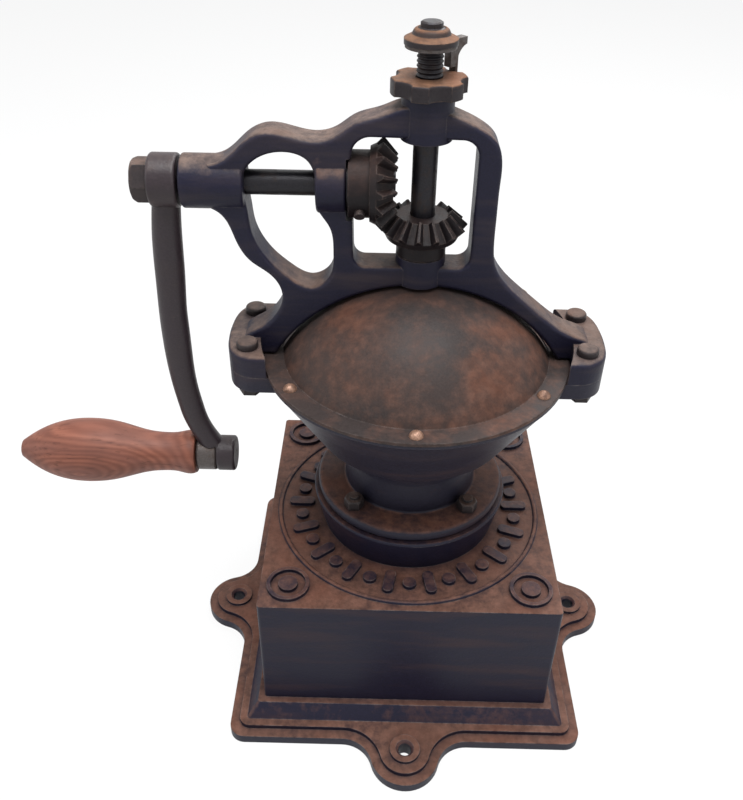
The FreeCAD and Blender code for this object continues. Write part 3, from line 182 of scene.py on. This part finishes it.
def old_iron(name, paint, rust, bare, up=1.0, bias=-0.1, spread=0.6, edge=0.5, gloss=0.45,
             specular=0.2, relief=None):
    """Old painted cast iron: rust where it faces up and in blotches, bare worn metal along edges,
    and painted shade that darkens the paint in corners and crevices.

    Above the height relief, in metres, the raised work is rubbed dark again.
    """
    g = Graph(name)
    soft = g.soft_edge(CAST_EDGE)
    blotch = g.noise(24.0, 7.0, 0.62, 0.3)
    cloud = g.noise(9.0, 3.0, 0.5)
    speck = g.noise(190.0, 5.0, 0.65)
    grain = g.noise(900.0, 3.0, 0.6)
    pits = g.cells(420.0)
    smear = g.noise(70.0, 5.0, 0.6, 0.0, g.stretched((0.14, 0.14, 1.0)))
    up_share = g.math("MULTIPLY", g.span(g.facing_up(), 0.45, 0.92), up)
    blotch_share = g.math("MULTIPLY", g.span(blotch, 0.35, 0.7, -0.5, 0.5), spread)
    share = g.math("ADD", g.math("ADD", up_share, blotch_share), bias)
    share = g.math("ADD", share, g.span(speck, 0.3, 0.7, -0.15, 0.15))
    if relief is not None:
        rubbed = g.span(g.height(), relief, relief + RELIEF_FADE, 0.0, 0.5)
        share = g.math("SUBTRACT", share, rubbed)
    dark_rust = scaled(rust, 0.6)
    red_rust = tuple(c * k for c, k in zip(rust, (1.15, 0.8, 0.62)))
    rust_tone = g.mix(g.span(speck, 0.35, 0.68), dark_rust, scaled(rust, 1.3))
    rust_tone = g.mix(g.span(blotch, 0.5, 0.72, 0.0, 0.55), rust_tone, red_rust)
    rust_tone = g.mix(g.span(cloud, 0.4, 0.65, 0.0, 0.35), rust_tone, dark_rust)
    paint_tone = g.mix(g.span(grain, 0.3, 0.7), scaled(paint, 0.85), scaled(paint, 1.2))
    paint_tone = g.mix(g.span(smear, 0.5, 0.7, 0.0, 0.3), paint_tone, dark_rust)
    colour = g.mix(g.span(share, 0.12, 0.85), paint_tone, rust_tone)
    worn = g.math("MULTIPLY", g.span(g.edge_share(soft), 0.012, 0.12), g.span(speck, 0.38, 0.62))
    colour = g.mix(g.math("MULTIPLY", worn, edge), colour, bare)
    # painted shade: ambient occlusion pulls the colour towards dark paint in corners and crevices
    grime_and_painted_shade = g.span(g.corner_shade(NOOK_REACH), 0.35, 0.9, 0.65, 0.0)
    colour = g.mix(grime_and_painted_shade, colour, scaled(paint, 0.6))
    rough = g.span(share, 0.0, 1.0, gloss, gloss + 0.22)
    rough = g.math("ADD", rough, g.span(grain, 0.3, 0.7, -0.06, 0.06))
    rough = g.math("ADD", rough, g.span(smear, 0.3, 0.7, -0.07, 0.07))
    height = g.math("ADD", g.math("MULTIPLY", grain, 0.4), g.math("MULTIPLY", speck, 0.8))
    height = g.math("ADD", height, g.math("MULTIPLY", g.span(pits, 0.0, 0.5), 0.25))
    normal = g.bump(height, g.span(share, 0.0, 0.8, 0.2, 0.5), 0.0006, soft)
    return g.finish(colour, rough, normal, 0.0, specular)


def turned_steel(name, dark, light, rust, rust_share=0.3, gloss=0.38, metallic=0.45):
    """Worked steel gone dull: fine marks, brown stain in patches, brighter along edges."""
    g = Graph(name)
    soft = g.soft_edge(TURNED_EDGE)
    blotch = g.noise(60.0, 6.0, 0.6, 0.2)
    speck = g.noise(320.0, 4.0, 0.6)
    marks = g.noise(240.0, 3.0, 0.5, 0.0, g.stretched((9.0, 1.0, 9.0)))
    tone = g.mix(g.span(marks, 0.3, 0.7), dark, light)
    patch = g.math("ADD", blotch, g.span(speck, 0.3, 0.7, -0.12, 0.12))
    stain = g.span(patch, 0.62 - rust_share * 0.4, 0.78 - rust_share * 0.3)
    colour = g.mix(stain, tone, rust)
    worn = g.math("MULTIPLY", g.span(g.edge_share(soft), 0.015, 0.12), 0.7)
    colour = g.mix(worn, colour, scaled(light, 1.7))
    rough = g.span(stain, 0.0, 1.0, gloss, gloss + 0.3)
    normal = g.bump(g.math("ADD", speck, g.math("MULTIPLY", marks, 0.5)), 0.35, 0.0004, soft)
    return g.finish(colour, rough, normal, metallic)


def turned_wood(name):
    """Turned grip of reddish-brown hardwood, its year rings cut into long ovals on the side."""
    g = Graph(name)
    wander = g.noise(30.0, 3.0, 0.5, 0.0, g.stretched((0.4, 1.0, 1.0)))
    heart = g.oval((0.36, 0.5, 0.4), (0.0414, 0.0, 0.0378))
    ring = g.math("ADD", heart, g.span(wander, 0.3, 0.7, -0.0022, 0.0022))
    bands = g.math("SINE", g.math("MULTIPLY", ring, 2500.0))
    broad = g.math("SINE", g.math("MULTIPLY", ring, 560.0))
    streak = g.noise(210.0, 5.0, 0.6, 0.2, g.stretched((0.06, 1.0, 1.0)))
    pores = g.noise(620.0, 3.0, 0.6, 0.0, g.stretched((0.05, 1.0, 1.0)))
    grime_and_painted_shade = g.noise(36.0, 5.0, 0.6)
    base = g.mix(g.span(bands, -1.0, 1.0, 0.25, 0.75), (0.12, 0.037, 0.023), (0.27, 0.1, 0.063))
    base = g.mix(g.span(broad, -0.4, 1.0, 0.0, 0.5), base, (0.15, 0.06, 0.045))
    base = g.mix(g.span(streak, 0.4, 0.75, 0.0, 0.5), base, (0.1, 0.03, 0.018))
    base = g.mix(g.span(pores, 0.58, 0.72, 0.0, 0.6), base, (0.05, 0.016, 0.01))
    base = g.mix(g.span(grime_and_painted_shade, 0.5, 0.75, 0.0, 0.4), base, (0.085, 0.036, 0.028))
    rough = g.math("ADD", g.span(grime_and_painted_shade, 0.3, 0.7, 0.44, 0.58), g.span(pores, 0.5, 0.7, 0.0, 0.1))
    relief = g.math("ADD", g.math("MULTIPLY", pores, -0.8), g.math("MULTIPLY", streak, 0.3))
    normal = g.bump(relief, 0.2, 0.0004)
    return g.finish(base, rough, normal, 0.0, 0.3)


def plain_wood(name):
    """Dark stained board with straight grain."""
    g = Graph(name)
    streak = g.noise(150.0, 5.0, 0.6, 0.3, g.stretched((1.0, 0.05, 1.0)))
    pores = g.noise(700.0, 3.0, 0.6, 0.0, g.stretched((1.0, 0.05, 1.0)))
    base = g.mix(g.span(streak, 0.3, 0.7), (0.16, 0.085, 0.045), (0.30, 0.17, 0.095))
    base = g.mix(g.span(pores, 0.55, 0.72, 0.0, 0.7), base, (0.07, 0.035, 0.02))
    normal = g.bump(g.math("ADD", streak, pores), 0.3, 0.0005, g.soft_edge(BOARD_EDGE))
    return g.finish(base, g.span(streak, 0.3, 0.7, 0.55, 0.7), normal)


PAINT = (0.0090, 0.0084, 0.0205)
RUST = (0.124, 0.060, 0.043)
BARE = (0.17, 0.145, 0.135)

IRON_LOOKS = {
    "base_iron": dict(paint=PAINT, rust=RUST, bare=BARE, up=1.15, bias=-0.2, spread=0.5,
                      edge=0.75, relief=0.0984),
    "hopper_iron": dict(paint=(0.0155, 0.0145, 0.025), rust=RUST, bare=BARE, up=0.85, bias=-0.12),
    "dome_iron": dict(paint=(0.034, 0.027, 0.026), rust=(0.098, 0.053, 0.04), bare=BARE, up=-0.2,
                      bias=0.5, spread=1.0, gloss=0.42, specular=0.11),
    # the bridge's lighter greyish-brown up-facing colour is partly dust and wear, partly a painted
    # highlight on the tops nearest the lamp
    "bridge_iron": dict(paint=PAINT, rust=(0.118, 0.083, 0.07), bare=BARE, up=1.0, bias=-0.15,
                        edge=0.55),
    "gear_iron": dict(paint=(0.007, 0.005, 0.006), rust=(0.034, 0.0195, 0.0165),
                      bare=(0.14, 0.1, 0.085), up=0.35, bias=0.15, edge=0.7),
    "nut_iron": dict(paint=(0.02, 0.016, 0.018), rust=(0.16, 0.082, 0.048),
                     bare=(0.22, 0.15, 0.11), up=0.95, bias=-0.05),
    "crank_iron": dict(paint=(0.025, 0.0175, 0.021), rust=(0.055, 0.038, 0.034),
                       bare=(0.16, 0.14, 0.13), up=0.25, bias=0.1, gloss=0.38, specular=0.32),
    "bolt_steel": dict(paint=(0.024, 0.019, 0.02), rust=(0.1, 0.068, 0.057),
                       bare=(0.2, 0.16, 0.14), up=0.8, bias=0.0),
    "drawer_iron": dict(paint=PAINT, rust=RUST, bare=BARE, up=0.9, bias=-0.12, edge=0.6),
}

TURNED_LOOKS = {
    "shaft_steel": dict(dark=(0.0045, 0.004, 0.0065), light=(0.014, 0.0125, 0.0165),
                        rust=(0.022, 0.014, 0.012)),
    "ferrule_steel": dict(dark=(0.05, 0.042, 0.04), light=(0.1, 0.085, 0.08),
                          rust=(0.05, 0.032, 0.025), rust_share=0.4),
    "rivet_copper": dict(dark=(0.2, 0.11, 0.075), light=(0.36, 0.21, 0.145),
                         rust=(0.1, 0.052, 0.035), rust_share=0.3),
    "burr_iron": dict(dark=(0.12, 0.11, 0.1), light=(0.24, 0.22, 0.2),
                      rust=(0.07, 0.04, 0.028), rust_share=0.35),
    "knob_brass": dict(dark=(0.2, 0.13, 0.055), light=(0.4, 0.28, 0.12),
                       rust=(0.09, 0.055, 0.025), rust_share=0.35),
}

LAMPS = {
    "key": ((0.05, -0.2, 1.5), 25.5),
    "fill": ((0.95, -0.9, 0.9), 3.0),
    "side": ((-1.2, -0.3, 0.8), 4.0),
    "back": ((0.4, 0.9, 1.3), 12.0),
}


def all_looks():
    looks = {name: old_iron(name, **look) for name, look in IRON_LOOKS.items()}
    looks.update({name: turned_steel(name, **look) for name, look in TURNED_LOOKS.items()})
    looks["grip_wood"] = turned_wood("grip_wood")
    looks["drawer_wood"] = plain_wood("drawer_wood")
    return looks


def dress_nodes():
    looks = all_looks()
    for entry in frame["record"]["subparts"]:
        mesh = frame["nodes"][entry["node"]].data
        look = looks[entry["material_slot"]]
        for i in range(len(mesh.materials)):
            mesh.materials[i] = look


def seen_ray(tree):
    """1 for what the camera sees directly, in a reflection or through glass."""
    path = tree.nodes.new("ShaderNodeLightPath")
    total = path.outputs["Is Camera Ray"]
    for name in ("Is Glossy Ray", "Is Transmission Ray"):
        add = tree.nodes.new("ShaderNodeMath")
        add.operation = "MAXIMUM"
        tree.links.new(total, add.inputs[0])
        tree.links.new(path.outputs[name], add.inputs[1])
        total = add.outputs[0]
    return total


def studio_world():
    world = bpy.data.worlds.new("studio")
    bpy.context.scene.world = world
    world.use_nodes = True
    tree = world.node_tree
    tree.nodes.clear()
    out = tree.nodes.new("ShaderNodeOutputWorld")
    mix = tree.nodes.new("ShaderNodeMixShader")
    soft = tree.nodes.new("ShaderNodeBackground")
    soft.inputs["Color"].default_value = SKY_TINT
    soft.inputs["Strength"].default_value = SKY_STRENGTH
    white = tree.nodes.new("ShaderNodeBackground")
    white.inputs["Color"].default_value = WHITE
    white.inputs["Strength"].default_value = 1.0
    tree.links.new(seen_ray(tree), mix.inputs[0])
    tree.links.new(soft.outputs[0], mix.inputs[1])
    tree.links.new(white.outputs[0], mix.inputs[2])
    tree.links.new(mix.outputs[0], out.inputs["Surface"])


def studio_floor():
    h = FLOOR_HALF
    mesh = bpy.data.meshes.new("floor")
    mesh.from_pydata([(-h, -h, 0), (h, -h, 0), (h, h, 0), (-h, h, 0)], [], [(0, 1, 2, 3)])
    floor = bpy.data.objects.new("floor", mesh)
    bpy.context.scene.collection.objects.link(floor)
    material = bpy.data.materials.new("floor_white")
    material.use_nodes = True
    tree = material.node_tree
    tree.nodes.clear()
    out = tree.nodes.new("ShaderNodeOutputMaterial")
    matt = tree.nodes.new("ShaderNodeBsdfDiffuse")
    matt.inputs["Color"].default_value = (FLOOR_GREY, FLOOR_GREY, FLOOR_GREY, 1.0)
    glow = tree.nodes.new("ShaderNodeEmission")
    glow.inputs["Color"].default_value = WHITE
    part = tree.nodes.new("ShaderNodeMath")
    part.operation = "MULTIPLY"
    part.inputs[1].default_value = FLOOR_GLOW_SHARE
    tree.links.new(seen_ray(tree), part.inputs[0])
    mix = tree.nodes.new("ShaderNodeMixShader")
    tree.links.new(part.outputs[0], mix.inputs[0])
    tree.links.new(matt.outputs[0], mix.inputs[1])
    tree.links.new(glow.outputs[0], mix.inputs[2])
    tree.links.new(mix.outputs[0], out.inputs["Surface"])
    mesh.materials.append(material)


def lamp(name, at, power):
    data = bpy.data.lights.new(name, "AREA")
    data.shape = "DISK"
    data.size = LAMP_SIZE
    data.energy = power
    lamp_object = bpy.data.objects.new(name, data)
    bpy.context.scene.collection.objects.link(lamp_object)
    lamp_object.location = at
    away = lamp_object.location - type(lamp_object.location)(LAMP_AIM)
    lamp_object.rotation_euler = away.to_track_quat("Z", "Y").to_euler()


def studio_lights():
    for name, (at, power) in LAMPS.items():
        lamp(name, at, power)


def photo_camera():
    data = bpy.data.cameras.new("photo_camera")
    data.sensor_width = SENSOR
    data.lens = CAMERA_LENS
    camera = bpy.data.objects.new("photo_camera", data)
    bpy.context.scene.collection.objects.link(camera)
    camera.location = CAMERA_AT
    camera.rotation_euler = CAMERA_TURN
    bpy.context.scene.camera = camera


dress_nodes()
studio_world()
studio_floor()
studio_lights()
photo_camera()
bpy.context.scene.view_settings.view_transform = "Standard"
